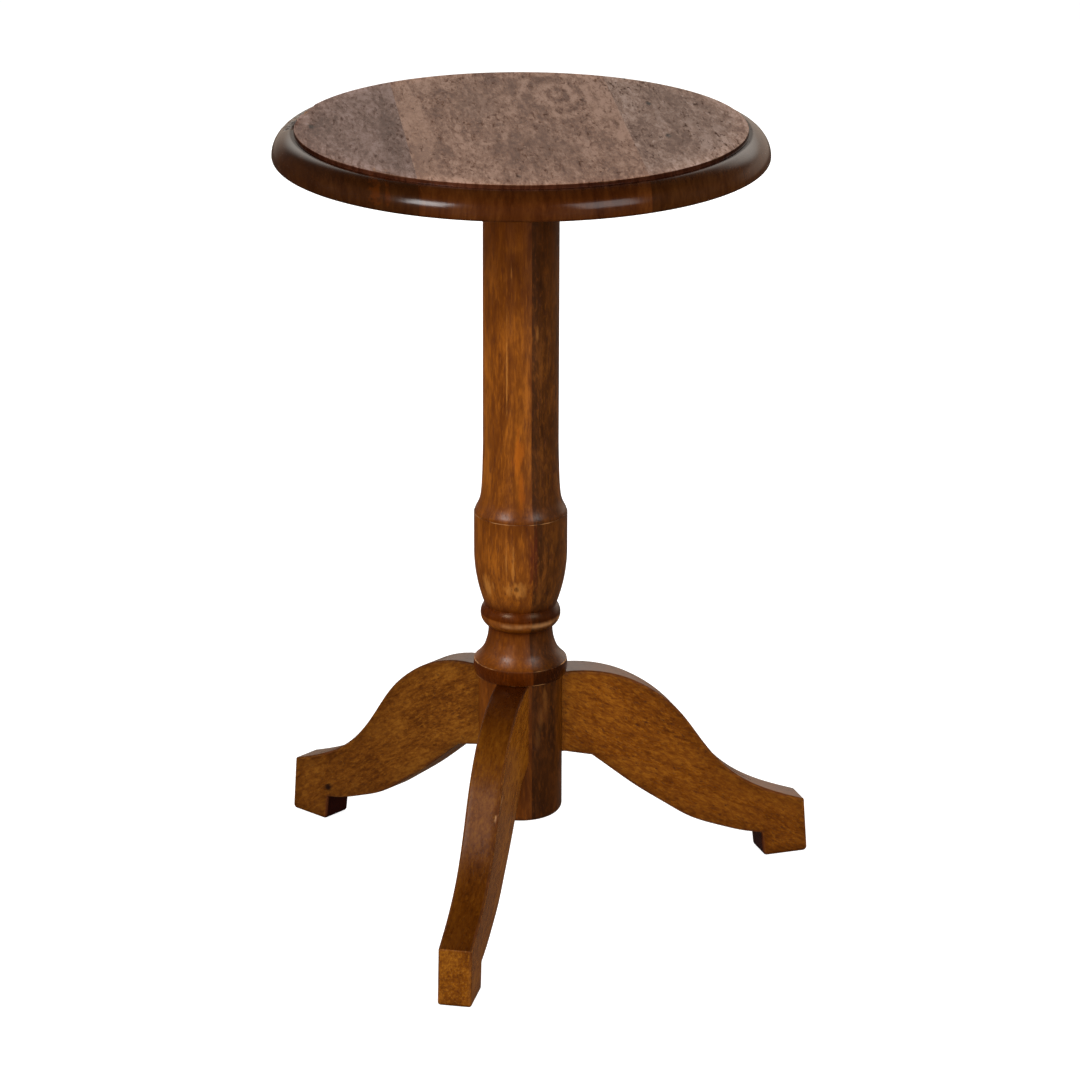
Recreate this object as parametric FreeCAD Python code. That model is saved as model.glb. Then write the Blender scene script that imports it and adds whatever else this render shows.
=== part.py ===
import FreeCAD, Part
import math
import os

# A wine table: a round top of three glued boards with a stepped and moulded rim, on a turned column that is
# glued up from two halves and stands on three sawn legs. Millimetres and degrees, +Z up. The origin is on the
# floor under the column's axis, and the front leg points along -Y.

# Whole table
TABLE_HEIGHT = 575.0
LEG_NAMES = ("front", "right", "left")  # evenly round the column, anticlockwise from above

# Top: three boards under one turned rim
TOP_DIAMETER = 350.0
TOP_THICKNESS = 22.0
MOULDING_WIDTH = 16.0  # from the edge of the raised flat to the rim
STEP_HEIGHT = 3.0  # from the flat down to the ledge
LEDGE_WIDTH = 1.5
STEP_EASE = 0.6  # chamfer on the arris of the flat
UNDER_EDGE_ROUND = 2.5
LEFT_SEAM = 83.0  # from the axis to the left glue line
RIGHT_SEAM = 73.0
GRAIN_TURN = 17.3  # the boards' turn from the front leg's direction

# Dowels across the board joints
EDGE_DOWEL_DIAMETER = 8.0
EDGE_DOWEL_LENGTH = 40.0
EDGE_DOWEL_COUNT = 4  # for each joint
EDGE_DOWEL_MARGIN = 42.0  # from a joint's end at the rim to its last dowel

# Bearer under the top, across the boards, and its screws
BEARER_LENGTH = 220.0
BEARER_WIDTH = 70.0
BEARER_THICKNESS = 20.0
BEARER_BEVEL = 9.0
SCREW_END_MARGIN = 16.0  # from the bearer's end to the outer screws
SCREW_EDGE_MARGIN = 17.0  # from the bearer's long side to the outer screws
SCREW_TENON_MARGIN = 24.0  # from the tenon to the inner screws
SCREW_DIAMETER = 4.0
SCREW_HEAD_DIAMETER = 8.0
SCREW_BITE = 13.0  # how far a screw reaches into the top
SCREW_POINT = 4.0
SCREW_HEAD_EDGE = 0.4
SCREW_SINK = 0.4  # how far a head lies below the bearer's face
SCREW_SLOT_WIDTH = 1.0
SCREW_SLOT_DEPTH = 1.2

# Column, from its lower end upwards
COLUMN_BASE = 59.5  # height of its lower end above the floor
HUB_RADIUS = 30.5
HUB_END_ROUND = 5.0
COLLAR_LIFT = 0.5  # from the legs' tops up to the collar
COLLAR_HEIGHT = 11.0
COLLAR_LOWER_RADIUS = 32.9
COLLAR_RADIUS = 34.1
COLLAR_UPPER_RADIUS = 33.6
NECK_HEIGHT = 26.0
NECK_RADIUS = 23.2
BEAD_HEIGHT = 16.5
BEAD_CROWN = 9.4  # from the bead's foot up to its widest point
BEAD_RADIUS = 29.0
VASE_FOOT_RADIUS = 26.0
VASE_SWELL_HEIGHT = 41.5
VASE_BAND_HEIGHT = 28.5
VASE_RADIUS = 33.7
SHOULDER_STEP = 0.5
SHOULDER_HEIGHT = 56.0
SHAFT_RADIUS = 27.2
TENON_RADIUS = 19.0
TENON_END_GAP = 0.3  # from the tenon's end to the top's underside
COLUMN_HALVES = ("left", "right")
COLUMN_TURN = 28.0  # the glue line's turn from the front leg's direction

# How the turned outline falls from a shoulder to the slimmer part above it: share of the rise, share of the
# shoulder's overhang that is left there
NECK_FALL = ((0.0, 1.0), (0.08, 0.785), (0.16, 0.61), (0.24, 0.46), (0.31, 0.352), (0.46, 0.2), (0.63, 0.08),
             (0.8, 0.018), (1.0, 0.0))
SHAFT_FALL = ((0.0, 1.0), (0.036, 0.95), (0.071, 0.8), (0.107, 0.63), (0.16, 0.43), (0.25, 0.26), (0.4, 0.145),
              (0.68, 0.05), (1.0, 0.0))

# Legs
LEG_THICKNESS = 24.0
LEG_TOP = 166.5  # height of the crest at the column
LEG_SEAT_HEIGHT = 62.5  # height of the end that is glued to the column
LEG_ROOT_LENGTH = 21.5  # from the column to the knee of the underside
LEG_ROOT_DROP = 5.5
FOOT_LENGTH = 35.0
HEEL_RAKE = 2.0  # how far the heel leans in towards the column
HEEL_HEIGHT = 19.0
LEVEL_OUT = 0.2  # slope of the underside where it meets the heel
TOE_RADIUS = 223.5  # from the axis
TOE_RAKE = 3.0  # how far the toe's face leans back
TOE_HEIGHT = 42.0
FOOT_ROUND = 3.0  # lower corners of the toe and the heel
LEG_EASE = 1.4  # chamfer on a leg's long edges

# Shape of a leg's edges: share of the run outwards, share of the drop
CREST_FALL = ((0.0, 0.0), (0.22, 0.06), (0.34, 0.157), (0.466, 0.325), (0.576, 0.558), (0.695, 0.763),
              (0.813, 0.882), (1.0, 1.0))
UNDERSIDE_FALL = ((0.0, 0.0), (0.105, 0.15), (0.255, 0.361), (0.459, 0.6125), (0.561, 0.73), (0.662, 0.814),
                  (0.766, 0.8825), (0.87, 0.946), (1.0, 1.0))

# Dowels from the legs into the column
LEG_DOWEL_DIAMETER = 10.0
LEG_DOWEL_IN_COLUMN = 22.0
LEG_DOWEL_IN_LEG = 26.0
LEG_DOWEL_MARGIN = 15.5  # from the top and the bottom of the leg's seat

# Fits
DOWEL_EASE = 0.8  # chamfer on a dowel's ends
GLUE_GAP = 0.05  # on the radius of glued and screwed rods, and between the legs and the column
HOLE_END_GAP = 0.6  # left beyond a rod's end

ORIGIN = FreeCAD.Vector(0, 0, 0)
UP = FreeCAD.Vector(0, 0, 1)
ALONG_X = FreeCAD.Vector(1, 0, 0)

top_underside = TABLE_HEIGHT - TOP_THICKNESS
bearer_underside = top_underside - BEARER_THICKNESS
rim_radius = TOP_DIAMETER / 2
leg_azimuths = {
    name: math.degrees(math.tau * place / len(LEG_NAMES) - math.pi / 2) for place, name in enumerate(LEG_NAMES)
}
leg_dowel_heights = {
    "upper": LEG_TOP - LEG_DOWEL_MARGIN,
    "lower": LEG_TOP - LEG_SEAT_HEIGHT + LEG_DOWEL_MARGIN,
}


def at(radius, height):
    return FreeCAD.Vector(radius, 0, height)


def line(start, end):
    return Part.makeLine(at(*start), at(*end))


def polyline(points):
    return [line(start, end) for start, end in zip(points, points[1:])]


def arc(start, middle, end):
    return Part.Arc(at(*start), at(*middle), at(*end)).toShape()


def upright_arc(start, end):
    """Arc from start that meets end standing upright."""
    reach = end[0] - start[0]
    rise = start[1] - end[1]
    side = math.copysign(1, reach)
    radius = (reach ** 2 + rise ** 2) / (2 * abs(reach))
    centre = end[0] - side * radius
    half_turn = math.atan2(rise, side * (start[0] - centre)) / 2
    middle = (centre + side * radius * math.cos(half_turn), end[1] + radius * math.sin(half_turn))
    return arc(start, middle, end)


def curve(points, fixed_place, direction):
    """Smooth curve through the points, which passes the one at fixed_place along direction."""
    spline = Part.BSplineCurve()
    spline.interpolate(
        Points=[at(*point) for point in points],
        Tangents=[at(*direction)] * len(points),
        TangentFlags=[place == fixed_place for place in range(len(points))],
    )
    return spline.toShape()


def turned(edges, start_angle, sweep):
    """Solid that the closed outline sweeps about the column's axis."""
    face = Part.Face(Part.Wire(edges))
    face.rotate(ORIGIN, UP, start_angle)
    return face.revolve(ORIGIN, UP, sweep)


def turn(shape, angle):
    shape.rotate(ORIGIN, UP, angle)
    return shape


def dowel(start, direction, diameter, length):
    body = Part.makeCylinder(diameter / 2, length, start, direction)
    rims = [edge for edge in body.Edges if len(edge.Vertexes) == 1]
    return body.makeChamfer(DOWEL_EASE, rims)


def dowel_hole(start, direction, diameter, length):
    mouth = start - direction * HOLE_END_GAP
    return Part.makeCylinder(diameter / 2 + GLUE_GAP, length + 2 * HOLE_END_GAP, mouth, direction)


def top_disc():
    """The whole top, turned with its stepped and moulded rim."""
    flat_radius = rim_radius - MOULDING_WIDTH
    ledge = (flat_radius + LEDGE_WIDTH, TABLE_HEIGHT - STEP_HEIGHT)
    step_foot = (flat_radius, ledge[1])
    step_top = (flat_radius, TABLE_HEIGHT - STEP_EASE)
    flat_edge = (flat_radius - STEP_EASE, TABLE_HEIGHT)
    widest = (rim_radius, top_underside + UNDER_EDGE_ROUND)
    under_edge = (rim_radius - UNDER_EDGE_ROUND, top_underside)
    edges = [
        line((0, TABLE_HEIGHT), flat_edge),
        line(flat_edge, step_top),
        line(step_top, step_foot),
        line(step_foot, ledge),
        upright_arc(ledge, widest),
        upright_arc(under_edge, widest),
        line(under_edge, (0, top_underside)),
        line((0, top_underside), (0, TABLE_HEIGHT)),
    ]
    return turned(edges, 0, 360)


def edge_dowel_places():
    """Start of each dowel across the board joints, with the boards along Y."""
    height = top_underside + TOP_THICKNESS / 2
    for side, seam in (("left", -LEFT_SEAM), ("right", RIGHT_SEAM)):
        last = math.sqrt(rim_radius ** 2 - seam ** 2) - EDGE_DOWEL_MARGIN
        spacing = 2 * last / (EDGE_DOWEL_COUNT - 1)
        for number in range(EDGE_DOWEL_COUNT):
            start = FreeCAD.Vector(seam - EDGE_DOWEL_LENGTH / 2, number * spacing - last, height)
            yield f"edge_dowel_{side}_{number + 1}", start


def screw_places():
    """Centre of each screw under the bearer, with the boards along Y."""
    outer = BEARER_LENGTH / 2 - SCREW_END_MARGIN
    row = BEARER_WIDTH / 2 - SCREW_EDGE_MARGIN
    inner = TENON_RADIUS + SCREW_TENON_MARGIN
    for across, along in ((-outer, -row), (-outer, row), (-inner, 0), (inner, 0), (outer, -row), (outer, row)):
        yield FreeCAD.Vector(across, along, 0)


def screw_form(gap, mouth, point):
    """Countersunk screw from its mouth up to its point, larger by gap."""
    head = SCREW_HEAD_DIAMETER / 2 + gap
    shank = SCREW_DIAMETER / 2 + gap
    cone_foot = bearer_underside + SCREW_SINK + SCREW_HEAD_EDGE
    outline = [
        (0, mouth),
        (head, mouth),
        (head, cone_foot),
        (shank, cone_foot + head - shank),
        (shank, point - SCREW_POINT),
        (0, point),
        (0, mouth),
    ]
    return turned(polyline(outline), 0, 360)


def screw(place):
    face = bearer_underside + SCREW_SINK
    body = screw_form(0, face, top_underside + SCREW_BITE)
    corner = FreeCAD.Vector(-SCREW_HEAD_DIAMETER / 2, -SCREW_SLOT_WIDTH / 2, face)
    slot = Part.makeBox(SCREW_HEAD_DIAMETER, SCREW_SLOT_WIDTH, SCREW_SLOT_DEPTH, corner)
    body = body.cut(slot)
    body.translate(place)
    return body


def screw_hole(place):
    hole = screw_form(GLUE_GAP, bearer_underside, top_underside + SCREW_BITE + HOLE_END_GAP)
    hole.translate(place)
    return hole


def top_boards():
    """The three boards, cut from one disc at the glue lines, with the boards along Y."""
    holes = [screw_hole(place) for place in screw_places()]
    for _, start in edge_dowel_places():
        holes.append(dowel_hole(start, ALONG_X, EDGE_DOWEL_DIAMETER, EDGE_DOWEL_LENGTH))
    disc = top_disc().cut(holes)
    spans = {
        "left": (-rim_radius, -LEFT_SEAM),
        "centre": (-LEFT_SEAM, RIGHT_SEAM),
        "right": (RIGHT_SEAM, rim_radius),
    }
    for name, (low, high) in spans.items():
        corner = FreeCAD.Vector(low, -rim_radius, top_underside)
        slab = Part.makeBox(high - low, TOP_DIAMETER, TOP_THICKNESS, corner)
        yield f"top_board_{name}", disc.common(slab)


def top_bearer():
    """Bevelled batten across the boards, bored for the column's tenon and the screws."""
    corner = FreeCAD.Vector(-BEARER_LENGTH / 2, -BEARER_WIDTH / 2, bearer_underside)
    body = Part.makeBox(BEARER_LENGTH, BEARER_WIDTH, BEARER_THICKNESS, corner)
    lower = [edge for edge in body.Edges if edge.BoundBox.ZMax < top_underside - BEARER_THICKNESS / 2]
    body = body.makeChamfer(BEARER_BEVEL, lower)
    bore_foot = FreeCAD.Vector(0, 0, bearer_underside)
    holes = [Part.makeCylinder(TENON_RADIUS + GLUE_GAP, BEARER_THICKNESS, bore_foot)]
    holes += [screw_hole(place) for place in screw_places()]
    return body.cut(holes)


def fall(shoulder, slim_radius, rise, shape):
    """Curve of a turned outline from a shoulder up to the slimmer part above it."""
    overhang = shoulder[0] - slim_radius
    points = [(slim_radius + overhang * left, shoulder[1] + rise * risen) for risen, left in shape]
    return curve(points, len(points) - 1, (0, 1))


def column_outline():
    """Closed half outline of the column, from its lower end to its tenon."""
    hub_foot = (HUB_RADIUS - HUB_END_ROUND, COLUMN_BASE)
    hub_side = (HUB_RADIUS, COLUMN_BASE + HUB_END_ROUND)
    collar_base = LEG_TOP + COLLAR_LIFT
    collar_top = collar_base + COLLAR_HEIGHT
    neck_top = collar_top + NECK_HEIGHT
    bead_top = neck_top + BEAD_HEIGHT
    swell_top = bead_top + VASE_SWELL_HEIGHT
    band_top = swell_top + VASE_BAND_HEIGHT
    collar_foot = (COLLAR_LOWER_RADIUS, collar_base)
    collar_edge = (COLLAR_UPPER_RADIUS, collar_top)
    bead_foot = (NECK_RADIUS, neck_top)
    vase_foot = (VASE_FOOT_RADIUS, bead_top)
    band_edge = (VASE_RADIUS, band_top)
    shoulder = (VASE_RADIUS - SHOULDER_STEP, band_top)
    tenon_top = top_underside - TENON_END_GAP
    edges = [line((0, COLUMN_BASE), hub_foot), upright_arc(hub_foot, hub_side)]
    edges += polyline([hub_side, (HUB_RADIUS, collar_base), collar_foot])
    edges.append(arc(collar_foot, (COLLAR_RADIUS, (collar_base + collar_top) / 2), collar_edge))
    edges.append(fall(collar_edge, NECK_RADIUS, NECK_HEIGHT, NECK_FALL))
    edges.append(arc(bead_foot, (BEAD_RADIUS, neck_top + BEAD_CROWN), vase_foot))
    edges.append(upright_arc(vase_foot, (VASE_RADIUS, swell_top)))
    edges += polyline([(VASE_RADIUS, swell_top), band_edge, shoulder])
    edges.append(fall(shoulder, SHAFT_RADIUS, SHOULDER_HEIGHT, SHAFT_FALL))
    edges += polyline([
        (SHAFT_RADIUS, band_top + SHOULDER_HEIGHT),
        (SHAFT_RADIUS, bearer_underside),
        (TENON_RADIUS, bearer_underside),
        (TENON_RADIUS, tenon_top),
        (0, tenon_top),
        (0, COLUMN_BASE),
    ])
    return edges


def leg_dowel_start(height):
    return FreeCAD.Vector(HUB_RADIUS - LEG_DOWEL_IN_COLUMN, 0, height)


def leg_dowel_holes():
    """Holes for one leg's dowels, with the leg along X."""
    length = LEG_DOWEL_IN_COLUMN + LEG_DOWEL_IN_LEG
    return [
        dowel_hole(leg_dowel_start(height), ALONG_X, LEG_DOWEL_DIAMETER, length)
        for height in leg_dowel_heights.values()
    ]


def column_halves():
    """The two halves, parted at the glue line and bored for the legs' dowels."""
    holes = []
    for azimuth in leg_azimuths.values():
        holes += [turn(hole, azimuth) for hole in leg_dowel_holes()]
    outline = column_outline()
    half_turn = math.degrees(math.pi)
    for place, name in enumerate(COLUMN_HALVES):
        start_angle = COLUMN_TURN + half_turn * (place + 1 / 2)
        yield f"column_{name}_half", turned(outline, start_angle, half_turn).cut(holes)


def between(start, end, shape):
    """Points from start to end, given as shares of the way outwards and of the way down."""
    run = end[0] - start[0]
    drop = end[1] - start[1]
    return [(start[0] + run * out, start[1] + drop * down) for out, down in shape]


def leg_outline():
    """Side view of a leg that points along X, from inside the column to the toe."""
    root = HUB_RADIUS - LEG_THICKNESS / 2
    seat_foot = LEG_TOP - LEG_SEAT_HEIGHT
    toe_top = (TOE_RADIUS - TOE_RAKE, TOE_HEIGHT)
    toe_side = (TOE_RADIUS, FOOT_ROUND)
    toe_foot = (TOE_RADIUS - FOOT_ROUND, 0)
    heel_radius = TOE_RADIUS - FOOT_LENGTH
    heel_foot = (heel_radius + FOOT_ROUND, 0)
    heel_side = (heel_radius, FOOT_ROUND)
    heel_top = (heel_radius - HEEL_RAKE, HEEL_HEIGHT)
    knee = (HUB_RADIUS + LEG_ROOT_LENGTH, seat_foot - LEG_ROOT_DROP)
    crest = between((HUB_RADIUS, LEG_TOP), toe_top, CREST_FALL)
    underside = between(knee, heel_top, UNDERSIDE_FALL)
    edges = [line((root, LEG_TOP), crest[0]), curve(crest, 0, (1, 0)), line(toe_top, toe_side)]
    edges += [upright_arc(toe_foot, toe_side), line(toe_foot, heel_foot), upright_arc(heel_foot, heel_side)]
    edges.append(line(heel_side, heel_top))
    edges.append(curve(underside, len(underside) - 1, (1, -LEVEL_OUT)))
    edges += polyline([knee, (HUB_RADIUS, seat_foot), (root, seat_foot), (root, LEG_TOP)])
    return edges


def leg():
    """One leg along X: sawn, eased on its long edges, coped to the column and bored for its dowels."""
    half = LEG_THICKNESS / 2
    side = Part.Face(Part.Wire(leg_outline()))
    side.translate(FreeCAD.Vector(0, -half, 0))
    blank = side.extrude(FreeCAD.Vector(0, LEG_THICKNESS, 0))
    long_edges = [
        edge for edge in blank.Edges
        if edge.BoundBox.YLength < half and edge.BoundBox.XMax > HUB_RADIUS
    ]
    eased = blank.makeChamfer(LEG_EASE, long_edges)
    column = Part.makeCylinder(HUB_RADIUS + GLUE_GAP, LEG_TOP)
    return eased.cut([column] + leg_dowel_holes())


nodes = dict(top_boards())
for name, start in edge_dowel_places():
    nodes[name] = dowel(start, ALONG_X, EDGE_DOWEL_DIAMETER, EDGE_DOWEL_LENGTH)
nodes["top_bearer"] = top_bearer()
for number, place in enumerate(screw_places(), 1):
    nodes[f"bearer_screw_{number}"] = screw(place)
for shape in nodes.values():
    turn(shape, GRAIN_TURN)
nodes.update(column_halves())
for side, azimuth in leg_azimuths.items():
    nodes[f"leg_{side}"] = turn(leg(), azimuth)
    for level, height in leg_dowel_heights.items():
        length = LEG_DOWEL_IN_COLUMN + LEG_DOWEL_IN_LEG
        rod = dowel(leg_dowel_start(height), ALONG_X, LEG_DOWEL_DIAMETER, length)
        nodes[f"leg_dowel_{side}_{level}"] = turn(rod, azimuth)

os.makedirs("parts", exist_ok=True)
for name, shape in nodes.items():
    shape.exportStep(f"parts/{name}.step")
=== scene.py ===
import math

import bmesh
import bpy
import numpy as np
from mathutils import Matrix, Vector
from mathutils.geometry import delaunay_2d_cdt

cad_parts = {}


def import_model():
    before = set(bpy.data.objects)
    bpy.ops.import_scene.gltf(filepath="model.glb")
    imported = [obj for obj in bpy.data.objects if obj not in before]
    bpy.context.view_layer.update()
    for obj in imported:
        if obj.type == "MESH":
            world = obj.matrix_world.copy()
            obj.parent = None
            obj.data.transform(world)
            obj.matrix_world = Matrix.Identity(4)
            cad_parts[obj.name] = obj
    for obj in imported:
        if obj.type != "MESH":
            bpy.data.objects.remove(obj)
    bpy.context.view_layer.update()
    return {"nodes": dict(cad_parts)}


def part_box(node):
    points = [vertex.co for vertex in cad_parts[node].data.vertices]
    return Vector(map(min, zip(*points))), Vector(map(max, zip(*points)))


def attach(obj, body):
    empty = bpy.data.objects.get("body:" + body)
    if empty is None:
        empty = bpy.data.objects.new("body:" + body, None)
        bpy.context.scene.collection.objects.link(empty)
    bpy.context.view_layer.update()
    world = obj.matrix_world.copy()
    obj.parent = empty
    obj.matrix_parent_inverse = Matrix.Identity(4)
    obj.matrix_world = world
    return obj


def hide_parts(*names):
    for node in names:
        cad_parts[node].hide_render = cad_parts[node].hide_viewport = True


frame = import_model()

# A wine table: moulded round top of three boards, column turned from two glued halves, three sawn legs.
# Sizes of shapes are in millimetres, as the pieces were drawn, and become metres where a mesh is made.
MM = 0.001


def box(node):
    """Low and high corner of a node of the CAD model, in millimetres."""
    low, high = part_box(node)
    return low / MM, high / MM


# Meshes
TOLERANCE = 0.1
MERGE_DISTANCE = 5e-7  # metres
SHARP_ANGLE = math.radians(38)

# Top
TOP_UNDERSIDE = box("top_board_centre")[0].z
TOP_HEIGHT = box("top_board_centre")[1].z
RIM_RADIUS = 175.0
RIM_WIDTH = 16.0
FLAT_RADIUS = RIM_RADIUS - RIM_WIDTH
LEDGE_DEPTH = 3.0
LEDGE_WIDTH = 1.5
STEP_EASE = 0.6
UNDER_EDGE_ROUND = 2.5
UNDERSIDE_RING = 0.8 * RIM_RADIUS
LEFT_SEAM = -83.0
RIGHT_SEAM = 73.0
BOARDS = {"left": (None, LEFT_SEAM), "centre": (LEFT_SEAM, RIGHT_SEAM), "right": (RIGHT_SEAM, None)}
GRAIN_TURN = math.radians(17.3)
TOP_SEGMENTS = 512

# The flat is rubbed paler towards its edge, and its pores are darker towards the right
RUBBED_FROM = FLAT_RADIUS - 16.0
RUBBED_FULL = FLAT_RADIUS - 4.0
RUBBED_TONE = 1.3
PITTED_FROM = 55.0
PITTED_FULL = 85.0
TOP_EDGE_WEAR = 0.1

# Painted shade lies in the step and beside the ledge, darker at the sides than at the front and the back
STEP_SHADE_WIDTH = 1.6
STEP_SHADE_TONE = 0.28
STEP_SHADE_TONE_DROP_ASIDE = 0.18
STEP_SHADE_COLOUR = (1.0, 0.55, 0.35)

# Chipped stretch of the moulding, at the left
CHIP_SEED = 7
CHIP_COUNT = 60
CHIP_MIDDLE = math.radians(181)
CHIP_REACH = math.radians(10)
CHIP_WIDTHS = (0.006, 0.022)  # radians round the rim
CHIP_LENGTH = 2.2
CHIP_OFFSET = 2.0  # from the edge of the flat
CHIP_SPREAD = 3.5
CHIP_DEPTH = 2.2
CHIP_SHARES = (0.35, 1.0)  # of the depth
CHIP_BELOW = 12.0  # the lowest chip, under the flat
CHIP_INSIDE = 3.0  # the innermost chip, inside the edge of the flat

# Column, by height
COLUMN_BASE = box("column_left_half")[0].z
TENON_TOP = box("column_left_half")[1].z
BEARER_FOOT = box("top_bearer")[0].z
HUB_EASE = 5.0
COLLAR_BASE = 167.0
COLLAR_TOP = 178.0
NECK_TOP = 204.0
BEAD_RISE = 9.4
BEAD_TOP = 220.5
SWELL_TOP = 262.0
BAND_TOP = 290.5
SHAFT_FOOT = 346.5

# Column, by radius
HUB_RADIUS = 30.5
COLLAR_FOOT_RADIUS = 32.9
COLLAR_RADIUS = 34.1
COLLAR_SHOULDER_RADIUS = 33.6
NECK_RADIUS = 23.2
BEAD_RADIUS = 29.0
VASE_FOOT_RADIUS = 26.0
VASE_RADIUS = 33.7
VASE_SHOULDER_RADIUS = 33.2
SHAFT_RADIUS = 27.2
TENON_RADIUS = 19.0
ARRIS_ROUND = 0.35

COLUMN_TURN = math.radians(28)
COLUMN_STARTS = {"left": math.pi / 2, "right": -math.pi / 2}
COLUMN_SEGMENTS = 128

# Painted shade at the hub's foot, on the collar, in the creases, on the bead and shoulder, and under the top
COLUMN_PAINTED_SHADE = (
    (COLUMN_BASE, 0.6), (COLLAR_BASE - 1, 0.4), (COLLAR_BASE + 0.5, 1.0), (COLLAR_TOP - 0.5, 1.0),
    (COLLAR_TOP + 1, 0.35), (NECK_TOP - 4, 0.6), (NECK_TOP, 1.0), (NECK_TOP + 4, 0.4), (NECK_TOP + 9.2, 0.3),
    (NECK_TOP + 10, 1.0), (BEAD_TOP, 1.0), (BEAD_TOP + 8, 0.05), (BAND_TOP - 6, 0.0), (BAND_TOP, 0.4),
    (BAND_TOP + 12, 0.3), (BAND_TOP + 26, 0.0), (BEARER_FOOT - 110, 0.0), (BEARER_FOOT - 40, 0.5),
    (BEARER_FOOT, 0.85))

# Pale band round the bead, painted light on its lower half; set as wear, it takes the worn colour and roughness
BEAD_PAINTED_LIGHT = 0.8
BEAD_PAINTED_LIGHT_RISE = 7.0
BEAD_PAINTED_LIGHT_FADE = 3.0

# Legs
LEG_AZIMUTHS = {"front": math.radians(-90), "right": math.radians(30), "left": math.radians(150)}
LEG_THICKNESS = 2 * box("leg_front")[1].x
LEG_TOP = box("leg_front")[1].z
TOE_RADIUS = -box("leg_front")[0].y
SEAT_HEIGHT = 62.5
ROOT_LENGTH = 21.5
ROOT_DROP = 5.5
SEAT_FOOT = LEG_TOP - SEAT_HEIGHT
KNEE = (HUB_RADIUS + ROOT_LENGTH, SEAT_FOOT - ROOT_DROP)
FOOT_LENGTH = 35.0
FOOT_ROUND = 3.0
HEEL_RAKE = 2.0
HEEL_HEIGHT = 19.0
HEEL_SLOPE = 0.2  # of the underside where it reaches the heel
TOE_RAKE = 3.0
TOE_HEIGHT = 42.0
SAWN_CORNER_ROUND = 1.5
ROOT_OVERRUN = 1.0
LEG_EASE = 1.9
GLUE_GAP = 0.05
LEG_GRAIN_SLOPE = math.radians(31)
SIDE_GRID = 4.0

# Painted shade along a leg's crest, and darkening of its toe, sides and edges, by distance from the axis
CREST_FROM_HEIGHT = ((HUB_RADIUS, 135), (TOE_RADIUS, 25))
CREST_SHADE = ((30, 0.85), (60, 0.8), (100, 0.55), (130, 0.45), (160, 0.62), (215, 0.66))
CREST_END = TOE_RADIUS - TOE_RAKE - 0.5
TOE_DARKENING = ((190, 0.0), (215, 0.12))
SIDE_DARKENING = ((60, 0.0), (110, 0.15), (150, 0.23), (200, 0.25))
EDGE_DARKENING = 0.35
EDGE_FADE = 4.5

# Each piece of a wood is taken from another place in the log, so many metres on
PIECE_SHIFT = np.array((0.9, 1.7, 0.4))

# Wood: scales are in features for each metre, edges are where a pattern begins and where it is full
WANDER_SCALE = (16, 7, 16)
WANDER_REACH = (0.010, 0, 0.010)
KNOT_RINGS = 22.0
KNOT_WANDER = 15.0
KNOT_PULL = 0.17
SPOT_EDGE = (1.2, 0.3)
RAGGED_SCALE = (300, 80, 300)
CLUSTER_SCALE = (45, 16, 45)
CLUSTER_EDGE = (0.36, 0.62)
STROKE_SOFTNESS = 0.16
PIT_SHIFT = (0.53, 0.29, 0.41)
FLECK_SHIFT = (0.31, 0.17, 0.23)
FLECK_SHARE = 0.6
RUB_SCALE = (45, 45, 45)
RUB_EDGE = (0.46, 0.60)
RUB_SHARE = 0.7
PORE_ROUGHNESS = 0.3
FIGURE_ROUGHNESS = 0.2
WEAR_ROUGHNESS = 0.4
COAT_ROUGHNESS = 0.18
FIBRE_HEIGHT = 0.3  # of a pore's depth

# Camera, in the frame of the photograph: in front of the column, turned with the view
IMAGE_SIZE = 1080
SENSOR = 36.0
FOCAL_PIXELS = 4605.8
VIEW_TURN = math.radians(11.575)
VIEW_PITCH = math.radians(19.445)
VIEW_ROLL = math.radians(0.185)
VIEW_DISTANCE = 3.1332
VIEW_HEIGHT = 1.3740
VIEW_OFFSET = 0.01396
AIM_HEIGHT = 0.33  # of the softboxes


# Outlines

def upright_arc(start, end, steps=14):
    """Points of the arc from start that meets end standing upright."""
    reach = end[0] - start[0]
    rise = start[1] - end[1]
    side = math.copysign(1, reach)
    radius = (reach ** 2 + rise ** 2) / (2 * abs(reach))
    centre = end[0] - side * radius
    turn = math.atan2(rise, side * (start[0] - centre))
    angles = np.linspace(turn, 0, steps + 1)
    return [(centre + side * radius * math.cos(a), end[1] + radius * math.sin(a)) for a in angles]


def arc_through(start, middle, end, steps):
    """Points of the arc through three points."""
    (ax, ay), (bx, by), (cx, cy) = start, middle, end
    spread = 2 * (ax * (by - cy) + bx * (cy - ay) + cx * (ay - by))
    a2, b2, c2 = ax * ax + ay * ay, bx * bx + by * by, cx * cx + cy * cy
    x = (a2 * (by - cy) + b2 * (cy - ay) + c2 * (ay - by)) / spread
    y = (a2 * (cx - bx) + b2 * (ax - cx) + c2 * (bx - ax)) / spread
    radius = math.hypot(ax - x, ay - y)
    first = math.atan2(ay - y, ax - x)
    sweep = (math.atan2(cy - y, cx - x) - first) % math.tau
    if (math.atan2(by - y, bx - x) - first) % math.tau > sweep:
        sweep -= math.tau
    angles = first + np.linspace(0, sweep, steps + 1)
    return [(x + radius * math.cos(a), y + radius * math.sin(a)) for a in angles]


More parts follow.
